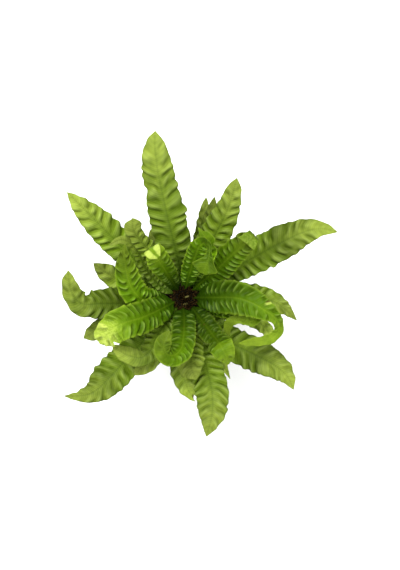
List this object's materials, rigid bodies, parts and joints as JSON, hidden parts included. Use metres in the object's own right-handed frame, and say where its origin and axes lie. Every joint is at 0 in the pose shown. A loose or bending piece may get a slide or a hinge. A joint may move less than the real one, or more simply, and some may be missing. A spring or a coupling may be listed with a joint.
{
  "type": "potted fern",
  "caption": "Bird's-nest fern with crisp pleated strap fronds, some curled at the tip, rising from a scaly crown in a plain round nursery pot.",
  "frame": {"origin": "centre of the pot's underside, on the surface that it stands on", "axes": "+Z up; seen from straight above, +X points right and +Y points up in the picture"},
  "size_m": [0.3733, 0.4102, 0.2477],
  "materials": {
    "pot": "moulded plastic with a fine grain",
    "soil": "damp bark and peat potting mix",
    "crown": "dark brown papery scales",
    "crozier": "pale scales over a rolled young frond",
    "frond_mature": "soft waxy leaf, pleated across",
    "frond_young": "bright waxy leaf, pleated across"
  },
  "bodies": {
    "root": {"pot": "pot", "soil": "soil", "crown": "crown", "crozier_middle": "crozier", "crozier_south": "crozier", "frond_north_long": "frond_mature", "frond_northwest_long": "frond_mature", "frond_northwest_upright": "frond_mature", "frond_northwest_sliver": "frond_mature", "frond_northwest_low": "frond_mature", "frond_west_upturned": "frond_young", "frond_north_inner": "frond_young", "frond_west_low": "frond_mature", "frond_west_long": "frond_mature", "frond_west_under": "frond_mature", "frond_southwest_bright": "frond_young", "frond_southwest_curled": "frond_mature", "frond_southwest_long": "frond_mature", "frond_southwest_under": "frond_mature", "frond_south_curled": "frond_young", "frond_south_middle": "frond_mature", "frond_south_under": "frond_mature", "frond_south_long": "frond_mature", "frond_southeast_low": "frond_mature", "frond_southeast_curled": "frond_young", "frond_east_bright": "frond_young", "frond_east_behind": "frond_mature", "frond_east_low": "frond_mature", "frond_east_rolled": "frond_young", "frond_southeast_long": "frond_mature", "frond_northeast_long": "frond_mature", "frond_northeast_curled": "frond_young", "frond_north_northeast_long": "frond_mature", "frond_north_low": "frond_mature", "frond_north_under": "frond_mature", "frond_north_northeast_inner": "frond_young", "frond_north_northeast_curled": "frond_young"}
  },
  "joints": []
}
